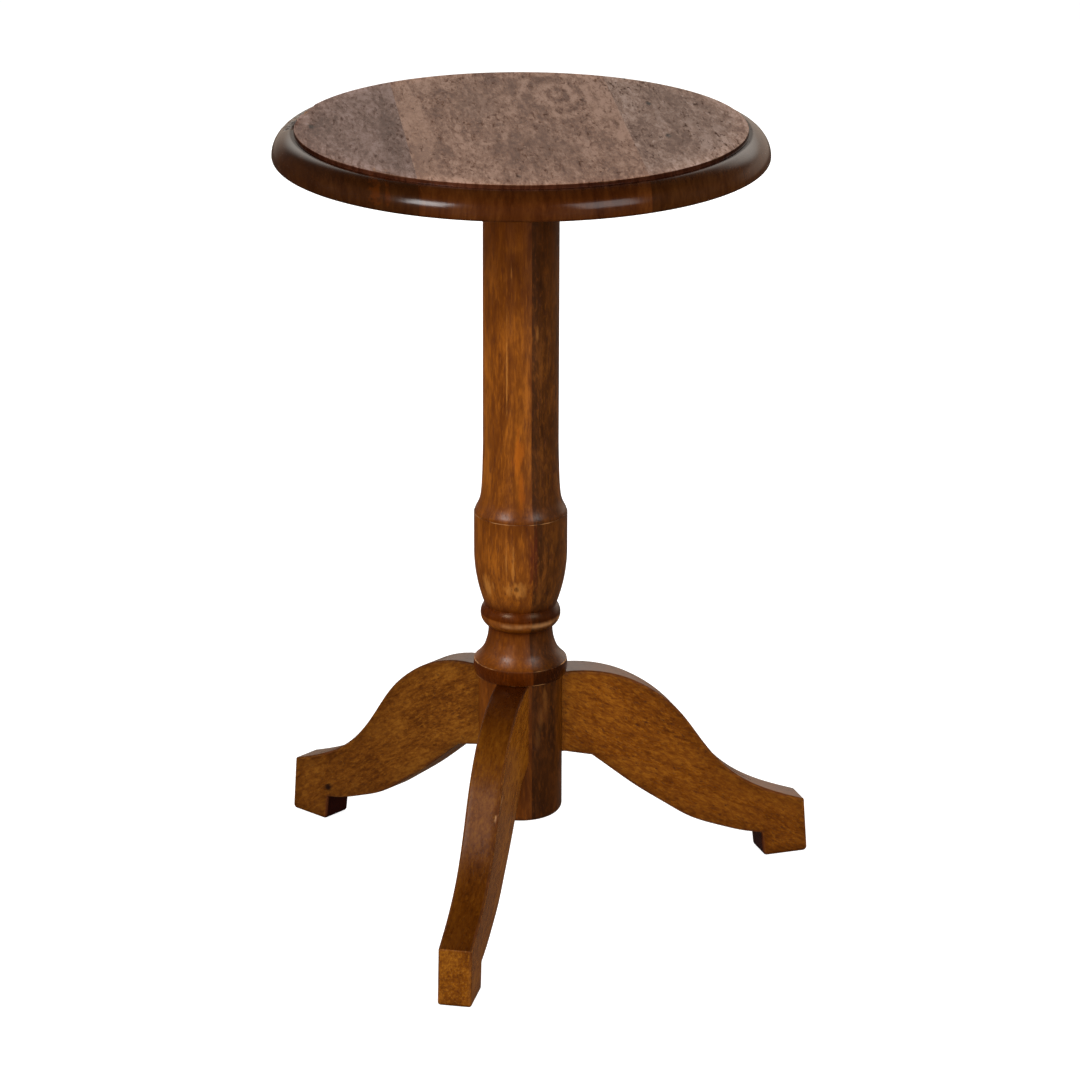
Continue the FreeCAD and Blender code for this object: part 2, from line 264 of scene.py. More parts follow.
def smooth(points, steps, start=None, end=None):
    """Cubic spline through the points, along the given unit directions at its ends."""
    places = np.array(points, float)
    gaps = np.linalg.norm(np.diff(places, axis=0), axis=1)
    count = len(places)
    slopes = np.diff(places, axis=0) / gaps[:, None]
    matrix = np.eye(count)
    right = np.zeros((count, 2))
    for i in range(1, count - 1):
        matrix[i, i - 1:i + 2] = gaps[i - 1], 2 * (gaps[i - 1] + gaps[i]), gaps[i]
        right[i] = 6 * (slopes[i] - slopes[i - 1])
    if start is not None:
        matrix[0, :2] = 2 * gaps[0], gaps[0]
        right[0] = 6 * (slopes[0] - np.array(start))
    if end is not None:
        matrix[-1, -2:] = gaps[-1], 2 * gaps[-1]
        right[-1] = 6 * (np.array(end) - slopes[-1])
    bend = np.linalg.solve(matrix, right)
    out = []
    for i in range(count - 1):
        for t in np.linspace(0, 1, steps, endpoint=False):
            u = 1 - t
            bow = (u ** 3 - u) * bend[i] + (t ** 3 - t) * bend[i + 1]
            out.append(u * places[i] + t * places[i + 1] + gaps[i] ** 2 / 6 * bow)
    out.append(places[-1])
    return [tuple(place) for place in out]


def rounded(points, radius, sharp=math.radians(24), steps=4):
    """Rounds each sharp corner of an open outline.

    Gives the points and the wear of each, which is 1 on an outer arris and 0 elsewhere.
    """
    most_cut, most_guard = 0.4, 0.8  # of the sides that meet in the corner
    clean = [points[0]]
    for point in points[1:]:
        if math.dist(point, clean[-1]) > 1e-6:
            clean.append(point)
    out, wear = [clean[0]], [0.0]
    for before, corner, after in zip(clean, clean[1:], clean[2:]):
        a = np.subtract(corner, before)
        b = np.subtract(after, corner)
        a_length, b_length = np.linalg.norm(a), np.linalg.norm(b)
        a, b = a / a_length, b / b_length
        turn = math.atan2(a[0] * b[1] - a[1] * b[0], a @ b)
        if abs(turn) < sharp:
            out.append(corner)
            wear.append(0.0)
            continue
        cut = min(radius * math.tan(abs(turn) / 2), most_cut * a_length, most_cut * b_length)
        guards = min(cut + radius, most_guard * a_length), min(cut + radius, most_guard * b_length)
        start, end = corner - cut * a, corner + cut * b
        bend = [(1 - t) ** 2 * start + 2 * t * (1 - t) * np.array(corner) + t ** 2 * end
                for t in np.linspace(0, 1, steps + 1)]
        out += [tuple(point) for point in (corner - guards[0] * a, *bend, corner + guards[1] * b)]
        wear += [0.0] + [1.0 if turn > 0 else 0.0] * len(bend) + [0.0]
    return out + [clean[-1]], wear + [0.0]


def read_off(place, pairs):
    """Value at a place on the line through pairs of a place and a value."""
    places, values = zip(*pairs)
    return np.interp(place, places, values)


def fall(shoulder, slim_radius, rise, shape):
    """Turned outline from a shoulder up to the slimmer part above it."""
    overhang = shoulder[0] - slim_radius
    points = [(slim_radius + overhang * left, shoulder[1] + rise * risen) for risen, left in shape]
    return smooth(points, 5, end=(0, 1))


def top_outline():
    """Half section of the top, from the axis below, round the rim, to the axis above."""
    under_edge = (RIM_RADIUS - UNDER_EDGE_ROUND, TOP_UNDERSIDE)
    widest = (RIM_RADIUS, TOP_UNDERSIDE + UNDER_EDGE_ROUND)
    ledge = (FLAT_RADIUS + LEDGE_WIDTH, TOP_HEIGHT - LEDGE_DEPTH)
    points = [(0, TOP_UNDERSIDE), (UNDERSIDE_RING, TOP_UNDERSIDE)]
    points += upright_arc(under_edge, widest, 8)
    points += upright_arc(ledge, widest, 24)[::-1]
    points += [(FLAT_RADIUS, ledge[1])]
    points += [(radius, TOP_HEIGHT) for radius in (FLAT_RADIUS, RUBBED_FULL, RUBBED_FROM, 0)]
    return rounded(points, STEP_EASE)


def column_outline():
    """Half section of the column, from its lower end to the end of its tenon."""
    neck_fall = (
        (0, 1), (.08, .785), (.16, .61), (.24, .46), (.31, .352), (.46, .2), (.63, .08), (.8, .018), (1, 0))
    shaft_fall = (
        (0, 1), (.036, .95), (.071, .8), (.107, .63), (.16, .43), (.25, .26), (.4, .145), (.68, .05), (1, 0))
    hub_foot = COLUMN_BASE + HUB_EASE
    collar_foot = (COLLAR_FOOT_RADIUS, COLLAR_BASE)
    collar_middle = (COLLAR_RADIUS, (COLLAR_BASE + COLLAR_TOP) / 2)
    collar = (COLLAR_SHOULDER_RADIUS, COLLAR_TOP)
    bead = (BEAD_RADIUS, NECK_TOP + BEAD_RISE)
    vase_foot = (VASE_FOOT_RADIUS, BEAD_TOP)
    shoulder = (VASE_SHOULDER_RADIUS, BAND_TOP)
    points = [(0, COLUMN_BASE)]
    points += upright_arc((HUB_RADIUS - HUB_EASE, COLUMN_BASE), (HUB_RADIUS, hub_foot), 10)
    points += [(HUB_RADIUS, z) for z in np.linspace(hub_foot, COLLAR_BASE, 6)[1:]]
    points += arc_through(collar_foot, collar_middle, collar, 10)
    points += fall(collar, NECK_RADIUS, NECK_TOP - COLLAR_TOP, neck_fall)[1:]
    points += arc_through((NECK_RADIUS, NECK_TOP), bead, vase_foot, 22)
    points += upright_arc(vase_foot, (VASE_RADIUS, SWELL_TOP), 22)[1:]
    points += [(VASE_RADIUS, (SWELL_TOP + BAND_TOP) / 2), (VASE_RADIUS, BAND_TOP)]
    points += fall(shoulder, SHAFT_RADIUS, SHAFT_FOOT - BAND_TOP, shaft_fall)
    points += [(SHAFT_RADIUS, z) for z in np.linspace(SHAFT_FOOT, BEARER_FOOT, 16)[1:]]
    points += [(TENON_RADIUS, BEARER_FOOT), (TENON_RADIUS, TENON_TOP), (0, TENON_TOP)]
    return rounded(points, ARRIS_ROUND)


def leg_outline():
    """Side view of a leg: out along its underside, round the foot and back over its crest."""
    crest_fall = (
        (0, 0), (.22, .06), (.34, .157), (.466, .325), (.576, .558), (.695, .763), (.813, .882), (1, 1))
    under_fall = (
        (0, 0), (.105, .15), (.255, .361), (.459, .6125), (.561, .73), (.662, .814), (.766, .8825), (.87, .946),
        (1, 1))

    def between(start, end, shape):
        reach, drop = end[0] - start[0], end[1] - start[1]
        return [(start[0] + reach * out, start[1] + drop * down) for out, down in shape]

    heel = TOE_RADIUS - FOOT_LENGTH
    heel_top = (heel - HEEL_RAKE, HEEL_HEIGHT)
    toe_top = (TOE_RADIUS - TOE_RAKE, TOE_HEIGHT)
    level_out = np.array((1, -HEEL_SLOPE)) / math.hypot(1, HEEL_SLOPE)
    underside = smooth(between(KNEE, heel_top, under_fall), 5, end=level_out)
    crest = smooth(between((HUB_RADIUS, LEG_TOP), toe_top, crest_fall), 6, start=(1, 0))
    heel_corner = upright_arc((heel + FOOT_ROUND, 0), (heel, FOOT_ROUND), 5)[::-1]
    toe_corner = upright_arc((TOE_RADIUS - FOOT_ROUND, 0), (TOE_RADIUS, FOOT_ROUND), 5)
    sawn = [(HUB_RADIUS, SEAT_FOOT)] + underside + heel_corner + toe_corner + crest[::-1]
    points, _ = rounded(sawn, SAWN_CORNER_ROUND)
    # The root runs on into the curve of the column
    root = HUB_RADIUS - ROOT_OVERRUN
    return [(root, SEAT_FOOT)] + points + [(root, LEG_TOP)]


# Making of meshes and pieces

def closed_mesh(name, verts, faces, layers):
    """Mesh with its doubled points merged, and one float attribute for each layer."""
    grid = bmesh.new()
    floats = [(grid.verts.layers.float.new(key), values) for key, values in layers.items()]
    points = []
    for number, place in enumerate(verts):
        point = grid.verts.new(place)
        for layer, values in floats:
            point[layer] = values[number]
        points.append(point)
    for face in faces:
        grid.faces.new([points[i] for i in face])
    bmesh.ops.remove_doubles(grid, verts=grid.verts, dist=MERGE_DISTANCE)
    bmesh.ops.recalc_face_normals(grid, faces=grid.faces)
    mesh = bpy.data.meshes.new(name)
    grid.to_mesh(mesh)
    grid.free()
    return mesh


def coords(mesh):
    """Places of the mesh's points, in metres."""
    places = np.empty(len(mesh.vertices) * 3, np.float32)
    mesh.vertices.foreach_get("co", places)
    return places.reshape(-1, 3).astype(float)


def set_vectors(mesh, name, values):
    """Gives the mesh a vector attribute: one vector for each point, or one for all."""
    attribute = mesh.attributes.new(name, "FLOAT_VECTOR", "POINT")
    spread = np.broadcast_to(values, (len(mesh.vertices), 3))
    attribute.data.foreach_set("vector", np.ascontiguousarray(spread, np.float32).ravel())


def make_piece(mesh, material, node):
    """Piece with the name of its mesh, shown in place of a node of the CAD model."""
    mesh.materials.append(material)
    mesh.shade_smooth()
    mesh.set_sharp_from_angle(angle=SHARP_ANGLE)
    piece = bpy.data.objects.new(mesh.name, mesh)
    bpy.context.scene.collection.objects.link(piece)
    normals = piece.modifiers.new("even shading", "WEIGHTED_NORMAL")
    normals.keep_sharp = True
    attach(piece, "root")
    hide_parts(node)


def lathe(outline, start, sweep, count):
    """Rings of the outline about the axis, in metres, and the faces between the rings."""
    rings = count if sweep == math.tau else count + 1
    angles = start + np.arange(rings) * sweep / count
    radius, z = (np.array(outline) * MM).T
    x, y = np.outer(np.cos(angles), radius), np.outer(np.sin(angles), radius)
    verts = np.stack([x, y, np.tile(z, (rings, 1))], axis=-1)
    size = len(outline)
    faces = []
    for i in range(count):
        first, second = i * size, (i + 1) % rings * size
        faces += [(first + k, second + k, second + k + 1, first + k + 1) for k in range(size - 1)]
    return verts.reshape(-1, 3), faces


# Top

def chip(verts):
    """Breaks small pieces out of the step and the upper moulding along the chipped stretch."""
    random = np.random.default_rng(CHIP_SEED)
    turn = np.arctan2(verts[:, 1], verts[:, 0]) - CHIP_MIDDLE
    turn = (turn + math.pi) % math.tau - math.pi
    radius = np.hypot(verts[:, 0], verts[:, 1]) / MM
    near_step = (verts[:, 2] > (TOP_HEIGHT - CHIP_BELOW) * MM) * (radius > FLAT_RADIUS - CHIP_INSIDE)
    depth = np.zeros(len(verts))
    for _ in range(CHIP_COUNT):
        middle = random.uniform(-CHIP_REACH, CHIP_REACH)
        width = random.uniform(*CHIP_WIDTHS)
        out = FLAT_RADIUS + CHIP_OFFSET + random.normal(0, CHIP_SPREAD)
        hit = np.exp(-((turn - middle) / width) ** 2 - ((radius - out) / CHIP_LENGTH) ** 2)
        depth = np.maximum(depth, hit * random.uniform(*CHIP_SHARES))
    verts[:, 2] -= depth * near_step * CHIP_DEPTH * MM
    return depth * near_step


def cut_board(disc, low, high, across):
    """The stretch of the moulded disc between two glue lines, closed along them."""
    board = bmesh.new()
    board.from_mesh(disc)
    for place, normal in ((low, -across), (high, across)):
        if place is None:
            continue
        cut = bmesh.ops.bisect_plane(
            board, geom=board.verts[:] + board.edges[:] + board.faces[:], plane_co=across * place * MM,
            plane_no=normal, clear_outer=True)
        edges = [part for part in cut["geom_cut"] if isinstance(part, bmesh.types.BMEdge)]
        bmesh.ops.contextual_create(board, geom=edges)
    bmesh.ops.recalc_face_normals(board, faces=board.faces)
    return board


def in_step(radius, z):
    """Whether a point of the top lies on the riser, on the ledge or close outside it."""
    outer = FLAT_RADIUS + LEDGE_WIDTH + STEP_SHADE_WIDTH
    lowest = TOP_HEIGHT - LEDGE_DEPTH - STEP_SHADE_WIDTH
    return (radius > FLAT_RADIUS - TOLERANCE) & (radius < outer) & (z > lowest)


def top_shade(radius, z):
    """How dark a point of the top is: stained on the moulding, painted shade in the step, none on the flat."""
    underside, step, moulding, flat = 0.6, 0.3, 1.0, 0.0
    if z < TOP_UNDERSIDE + TOLERANCE:
        return underside
    if in_step(radius, z):
        return step
    return moulding if radius > FLAT_RADIUS - TOLERANCE else flat


def top_tint(mesh, tint, rim):
    """Tint of each point: paler along the edge of the flat, painted shade in the step and high on the rim."""
    x, y, z = (coords(mesh) / MM).T
    radius = np.hypot(x, y)
    aside = np.cos(np.arctan2(y, x)) ** 2
    underside = 0.8
    flat = read_off(radius, ((RUBBED_FROM, 1.0), (RUBBED_FULL, RUBBED_TONE)))
    # Painted shade: the moulding is darker high up than low down
    moulding = read_off(radius, ((RIM_RADIUS - 6, 0.8), (RIM_RADIUS - 2, 1.0))) * rim
    tone = np.where(radius < FLAT_RADIUS - TOLERANCE, flat, moulding)
    tone = np.where(z < TOP_UNDERSIDE + TOLERANCE, underside, tone)
    # Painted shade in the step, darker at the sides
    painted_shade = np.outer(STEP_SHADE_TONE - STEP_SHADE_TONE_DROP_ASIDE * aside, STEP_SHADE_COLOUR)
    return np.where(in_step(radius, z)[:, None], painted_shade, np.outer(tone, tint))


def top_boards(material):
    """The three boards, cut from one moulded disc at the glue lines."""
    tints = {"left": (0.82, 0.94, 1.11), "centre": (1.08, 1.12, 1.10), "right": (1.12, 1.33, 1.48)}
    rims = {"left": 0.66, "centre": 0.95, "right": 0.6}
    outline, wear = top_outline()
    verts, faces = lathe(outline, GRAIN_TURN, math.tau, TOP_SEGMENTS)
    chipped = chip(verts)
    shade = np.tile([top_shade(radius, z) for radius, z in outline], TOP_SEGMENTS)
    worn = np.maximum(np.tile(wear, TOP_SEGMENTS) * TOP_EDGE_WEAR, chipped)
    across = Vector((math.cos(GRAIN_TURN), math.sin(GRAIN_TURN), 0))
    pitted = read_off(verts @ across / MM, ((PITTED_FROM, 0.0), (PITTED_FULL, 1.0)))
    disc = closed_mesh("top_disc", verts, faces, {"wear": worn, "shade": shade, "pitted": pitted})
    axes = np.array((across, (-across.y, across.x, 0), (0, 0, 1)))
    for number, (name, (low, high)) in enumerate(BOARDS.items()):
        board = cut_board(disc, low, high, across)
        mesh = bpy.data.meshes.new(f"top_board_{name}_wood")
        board.to_mesh(mesh)
        board.free()
        set_vectors(mesh, "grain", coords(mesh) @ axes.T + PIECE_SHIFT * number)
        set_vectors(mesh, "tint", top_tint(mesh, tints[name], rims[name]))
        make_piece(mesh, material, f"top_board_{name}")
    bpy.data.meshes.remove(disc)


# Column

def column_halves(materials):
    """The two halves of the turned column, each closed along the glue line."""
    outline, wear = column_outline()
    # The bead's band of painted light, set in the wear
    wear = [max(w, BEAD_PAINTED_LIGHT - abs(z - NECK_TOP - BEAD_PAINTED_LIGHT_RISE) / BEAD_PAINTED_LIGHT_FADE)
            for w, (radius, z) in zip(wear, outline)]
    # Painted shade by height
    painted_shade = read_off([z for radius, z in outline], COLUMN_PAINTED_SHADE)
    size = len(outline)
    rings = COLUMN_SEGMENTS + 1
    last = COLUMN_SEGMENTS * size
    layers = {"wear": np.tile(wear, rings), "shade": np.tile(painted_shade, rings), "pitted": np.zeros(size * rings)}
    for number, (name, start) in enumerate(COLUMN_STARTS.items()):
        verts, faces = lathe(outline, COLUMN_TURN + start, math.pi, COLUMN_SEGMENTS)
        faces.append(list(range(size)) + [last + k for k in range(size - 2, 0, -1)])
        mesh = closed_mesh(f"column_{name}_wood", verts, faces, layers)
        set_vectors(mesh, "grain", coords(mesh)[:, (0, 2, 1)] + PIECE_SHIFT * number)
        set_vectors(mesh, "tint", (1, 1, 1))
        make_piece(mesh, materials[name], f"column_{name}_half")


# Legs

def inset(points, depth):
    """The closed outline moved inwards by depth."""
    places = np.array(points)
    before = places - np.roll(places, 1, axis=0)
    before_length = np.linalg.norm(before, axis=1)[:, None]
    after = np.roll(before, -1, axis=0)
    both = before / before_length + after / np.linalg.norm(after, axis=1)[:, None]
    normal = np.stack([-both[:, 1], both[:, 0]], axis=1)
    return places + normal * (2 * depth / np.sum(normal ** 2, axis=1))[:, None]


def depth_inside(points, ring):
    """How deep each point lies inside the closed ring, and less than 0 outside."""
    p = np.asarray(points)[:, None, :]
    a = np.asarray(ring)
    b = np.roll(a, -1, axis=0)
    along = b - a
    t = np.clip(np.sum((p - a) * along, axis=2) / np.sum(along ** 2, axis=1), 0, 1)
    near = np.linalg.norm(p - (a + t[..., None] * along), axis=2).min(axis=1)
    spans = (a[:, 1] > p[..., 1]) != (b[:, 1] > p[..., 1])
    rise = np.where(along[:, 1] == 0, 1, along[:, 1])
    crossing = a[:, 0] + (p[..., 1] - a[:, 1]) * along[:, 0] / rise
    inside = np.sum(spans & (p[..., 0] < crossing), axis=1) % 2 == 1
    return np.where(inside, near, -near)


def leg_side(ring):
    """Triangles over the flat side of a leg, and how deep inside its edge each point lies."""
    columns, rows = np.arange(0, TOE_RADIUS, SIDE_GRID), np.arange(0, LEG_TOP, SIDE_GRID)
    spots = np.stack(np.meshgrid(columns, rows), axis=-1).reshape(-1, 2)
    spots = spots[depth_inside(spots, ring) > SIDE_GRID / 3]
    points = [Vector(place) for place in (*ring, *spots)]
    found = delaunay_2d_cdt(points, [], [list(range(len(ring)))], 1, 1e-6)
    flat = np.array([tuple(place) for place in found[0]])
    return flat, found[2], np.maximum(depth_inside(flat, ring), 0)


def leg_shade(radius, z, crest_shading):
    """Painted shade on the heel's inner face and along the crest, and a little darkening on the toe."""
    if z < HEEL_HEIGHT and radius < TOE_RADIUS - FOOT_LENGTH + FOOT_ROUND:
        return 1.0
    if z > read_off(radius, CREST_FROM_HEIGHT) and radius < CREST_END:
        return crest_shading * read_off(radius, CREST_SHADE)
    return read_off(radius, TOE_DARKENING)


def leg_mesh(name, crest_shading, pitted):
    """A leg along X: slices of its outline, drawn in where the long edges are eased, and its two sides."""
    outline = leg_outline()
    size = len(outline)
    half = LEG_THICKNESS / 2
    inner = half * 0.6
    turns = np.linspace(0, math.pi / 2, 5)
    ease = [(half - LEG_EASE * (1 - math.sin(t)), LEG_EASE * (1 - math.cos(t))) for t in turns]
    flats = [(y, 0.0) for y in np.linspace(-inner, inner, 5)]
    slices = [(-y, depth) for y, depth in ease[::-1]] + flats + ease
    outline_shade = [leg_shade(radius, z, crest_shading) for radius, z in outline]
    verts, wear, shade, faces, rings = [], [], [], [], []
    for y, depth in slices:
        ring = inset(outline, depth)
        root = math.sqrt((HUB_RADIUS + GLUE_GAP) ** 2 - y ** 2)
        ring[0] = (root, SEAT_FOOT + depth)
        ring[-1] = (root, LEG_TOP - depth)
        rings.append(ring)
        verts += [(radius, y, z) for radius, z in ring]
        wear += [1.0 if TOLERANCE < depth < LEG_EASE - TOLERANCE else 0.0] * size
        # The outline's painted shade, but the edge darkening close to the sides
        shade += outline_shade if depth < LEG_EASE / 2 else [EDGE_DARKENING] * size
    for first in range(0, size * (len(slices) - 1), size):
        second = first + size
        for k in range(size):
            after = (k + 1) % size
            faces.append((first + k, first + after, second + after, second + k))
    flat, triangles, depth = leg_side(rings[0])
    side_darkening = EDGE_DARKENING * np.exp(-depth / EDGE_FADE) + read_off(flat[:, 0], SIDE_DARKENING)
    for y in (-half, half):
        first = len(verts)
        verts += [(radius, y, z) for radius, z in flat]
        wear += [0.0] * len(flat)
        shade += list(side_darkening)
        faces += [[first + k for k in triangle] for triangle in triangles]
    layers = {"wear": wear, "shade": shade, "pitted": [pitted] * len(verts)}
    return closed_mesh(name, np.array(verts) * MM, faces, layers)


def along_leg(places):
    """Across and along the grain of a leg, from its out, side and up."""
    c, s = math.cos(LEG_GRAIN_SLOPE), math.sin(LEG_GRAIN_SLOPE)
    out, side, up = np.moveaxis(np.asarray(places, float), -1, 0)
    return np.stack([out * s + up * c, out * c - up * s, side], axis=-1)


def legs(material):
    """The three legs, made alike along X and turned to their azimuths."""
    # The front leg is tinted lighter as painted light on its sides; the others differ in tone
    tints = {"front": (1.06, 1.08, 1.1), "right": (1.0, 0.96, 0.85), "left": (0.84, 0.86, 1.05)}
    # How much painted shade lies on each leg's crest
    crest_shadings = {"front": 1.1, "right": 0.85, "left": 0.85}
    pitted = {"front": 0.2, "right": 1.0, "left": 0.0}
    for number, (name, azimuth) in enumerate(LEG_AZIMUTHS.items()):
        mesh = leg_mesh(f"leg_{name}_wood", crest_shadings[name], pitted[name])
        set_vectors(mesh, "grain", along_leg(coords(mesh)) + PIECE_SHIFT * number)
        set_vectors(mesh, "tint", tints[name])
        mesh.transform(Matrix.Rotation(azimuth, 4, "Z"))
        make_piece(mesh, material, f"leg_{name}")


# Materials

def linear(*srgb):
    """Colour given as 0 to 255 on the screen, as light."""
    return tuple(((v / 255 + 0.055) / 1.055) ** 2.4 if v > 10 else v / 255 / 12.92 for v in srgb) + (1.0,)


class Nodes:
    """A node tree wired by plain calls. The functions that build one call it n."""

    def __init__(self, tree):
        self.tree = tree
        tree.nodes.clear()

    def node(self, kind, inputs, **settings):
        made = self.tree.nodes.new(kind)
        for key, value in settings.items():
            setattr(made, key, value)
        for key, value in inputs.items():
            if isinstance(value, bpy.types.NodeSocket):
                self.tree.links.new(value, made.inputs[key])
            else:
                made.inputs[key].default_value = value
        return made

    def math(self, operation, a, b=0.0, c=0.0):
        return self.node("ShaderNodeMath", {0: a, 1: b, 2: c}, operation=operation).outputs[0]

    def times(self, a, b):
        return self.math("MULTIPLY", a, b)

    def line(self, value, slope, base):
        """Value times slope, plus base."""
        return self.math("MULTIPLY_ADD", value, slope, base)

    def centred(self, value):
        """A value from 0 to 1, moved to lie about 0."""
        return self.math("SUBTRACT", value, 0.5)

    def vector(self, operation, a, b=(0, 0, 0)):
        return self.node("ShaderNodeVectorMath", {0: a, 1: b}, operation=operation).outputs[0]

    def length(self, vector):
        return self.node("ShaderNodeVectorMath", {0: vector}, operation="LENGTH").outputs["Value"]

    def turn(self, vector, angle):
        return self.node("ShaderNodeVectorRotate", {"Vector": vector, "Angle": angle},
                         rotation_type="Z_AXIS").outputs[0]

    def place(self, output):
        return self.node("ShaderNodeTexCoord", {}).outputs[output]

    def noise(self, place, scale, detail=2.0, roughness=0.5, distortion=0.0):
        values = {"Vector": self.vector("MULTIPLY", place, scale), "Scale": 1.0, "Detail": detail,
                  "Roughness": roughness, "Distortion": distortion}
        return self.node("ShaderNodeTexNoise", values).outputs["Fac"]

    def between(self, value, low, high):
        """0 at low, 1 at high, smooth in between."""
        values = {"Value": value, "From Min": low, "From Max": high, "To Min": 0.0, "To Max": 1.0}
        return self.node("ShaderNodeMapRange", values, interpolation_type="SMOOTHSTEP").outputs["Result"]

    def strokes(self, place, scale, low):
        """Scattered short strokes; fewer of them the higher low is, from about 0.5."""
        return self.between(self.noise(place, scale, 2.0, 0.6), low, low + STROKE_SOFTNESS)

    def mix(self, share, a, b, blend="MIX"):
        values = {0: share, 6: a, 7: b}
        return self.node("ShaderNodeMix", values, data_type="RGBA", blend_type=blend).outputs[2]

    def ramp(self, value, *stops):
        made = self.node("ShaderNodeValToRGB", {"Fac": value})
        elements = made.color_ramp.elements
        while len(elements) < len(stops):
            elements.new(0.5)
        for element, (place, colour) in zip(elements, stops):
            element.position = place
            element.color = colour
        return made.outputs["Color"]

    def attribute(self, name, output):
        made = self.node("ShaderNodeAttribute", {}, attribute_name=name, attribute_type="GEOMETRY")
        return made.outputs[output]

    def bump(self, height, strength, distance):
        values = {"Height": height, "Strength": strength, "Distance": distance}
        return self.node("ShaderNodeBump", values).outputs[0]

    def finish(self, **inputs):
        values = {key.replace("_", " "): value for key, value in inputs.items()}
        shader = self.node("ShaderNodeBsdfPrincipled", values)
        self.node("ShaderNodeOutputMaterial", {"Surface": shader.outputs[0]})


def new_material(name):
    material = bpy.data.materials.new(name)
    material.use_nodes = True
    return material, Nodes(material.node_tree)


def wood(name, dark, middle, pale, pore, worn, deep, figure, streak, fibre, pores, pits, flecks, roughness,
         polish, ior, relief, marks, coat=None, dull=None, depth=1.0, swirl=None):
    """Lacquered wood with a pattern along the grain, single marks, and shaded and worn places.

    figure, streak and fibre are a width and a length in metres and how far each pulls the colour. pores, pits
    and flecks are a width, a length and how rare they are. All of them reach depth times their width into the
    wood. A mark is a middle, half a size, a colour, how far it covers the wood and how ragged its edge is.
    swirl is the middle and half the size of a place where the grain runs round a knot. Shaded places are
    multiplied by deep, polish is taken off their roughness, coat is how much lacquer lies on them, and their
    shine is multiplied by dull.
    """
    material, n = new_material(name)
    grain = n.attribute("grain", "Vector")
    shade = n.attribute("shade", "Fac")
    wear = n.attribute("wear", "Fac")

    def scale(width, length):
        return 1 / width, 1 / length, 1 / (depth * width)

    def scattered(place, width, length, rare):
        return n.strokes(place, scale(width, length), rare)

    def away_from(spot, half):
        """Distance from the spot, in half sizes."""
        return n.length(n.vector("MULTIPLY", n.vector("SUBTRACT", grain, tuple(spot)), tuple(1 / half)))

    # The pattern wanders a little to the sides, runs round the knot and is calmer in shaded places
    wander = n.node("ShaderNodeTexNoise", {"Vector": n.vector("MULTIPLY", grain, WANDER_SCALE), "Scale": 1.0})
    aside = n.vector("ADD", wander.outputs["Color"], (-0.5, -0.5, -0.5))
    bent = n.vector("ADD", grain, n.vector("MULTIPLY", aside, WANDER_REACH))
    value = 0.5
    layers = []
    for width, length, pull in (figure, streak, fibre):
        layer = n.noise(bent, scale(width, length), 5.0, 0.75, 0.4)
        value = n.line(n.centred(layer), pull, value)
        layers.append(layer)
    broad, _, fine = layers
    if swirl:
        away = away_from(*swirl)
        rings = n.math("SINE", n.line(away, KNOT_RINGS, n.times(broad, KNOT_WANDER)))
        value = n.line(rings, n.times(n.between(away, *SPOT_EDGE), KNOT_PULL), value)
    value = n.line(n.centred(value), n.line(shade, -0.5, 1.0), 0.5)
    colour = n.ramp(value, (0.25, dark), (0.5, middle), (0.75, pale))

    uneven = n.centred(n.noise(grain, RAGGED_SCALE, 3.0, 0.6))
    for spot, half, tone, share, ragged in marks:
        inside = n.between(n.line(uneven, ragged, away_from(spot, half)), *SPOT_EDGE)
        colour = n.mix(n.times(inside, share), colour, tone)

    # Pores and pits lie in clusters and are filled in shaded places
    clusters = n.between(n.noise(grain, CLUSTER_SCALE, 3.0), *CLUSTER_EDGE)
    scribble = n.times(scattered(bent, *pores), n.line(clusters, 0.5, 0.5))
    elsewhere = n.vector("ADD", bent, PIT_SHIFT)
    holes = n.times(scattered(elsewhere, *pits), clusters)
    open_pores = n.times(n.math("MAXIMUM", scribble, holes), n.line(shade, -0.7, 1.0))
    darkened = n.line(n.attribute("pitted", "Fac"), 0.5, 0.65)
    colour = n.mix(n.times(open_pores, darkened), colour, pore)
    light = scattered(n.vector("ADD", elsewhere, FLECK_SHIFT), *flecks)
    colour = n.mix(n.times(light, FLECK_SHARE), colour, pale)

    colour = n.mix(1.0, colour, n.attribute("tint", "Vector"), "MULTIPLY")
    colour = n.mix(shade, colour, n.mix(1.0, colour, deep, "MULTIPLY"))
    rubbed = n.times(wear, n.between(n.noise(grain, RUB_SCALE, 3.0), *RUB_EDGE))
    colour = n.mix(n.times(rubbed, RUB_SHARE), colour, worn)

    gloss = n.line(open_pores, PORE_ROUGHNESS, n.line(shade, -polish, roughness))
    gloss = n.line(n.centred(broad), FIGURE_ROUGHNESS, gloss)
    gloss = n.line(wear, WEAR_ROUGHNESS, gloss)
    height = n.line(fine, FIBRE_HEIGHT, n.times(open_pores, -1.0))
    extra = {}
    if coat:
        extra.update(Coat_Weight=n.times(shade, coat), Coat_Roughness=COAT_ROUGHNESS)
    if dull:
        extra.update(Specular_Tint=n.mix(n.times(shade, shade), (1, 1, 1, 1), dull))
    n.finish(Base_Color=colour, Roughness=gloss, Normal=n.bump(height, 0.5, relief), IOR=ior, **extra)
    return material


def placed(number, marks):
    """Marks of one piece, from millimetres in its own place to the place in the log it was taken from."""
    shift = PIECE_SHIFT * number
    return [(np.array(spot) * MM + shift, np.array(half) * MM, *rest) for spot, half, *rest in marks]


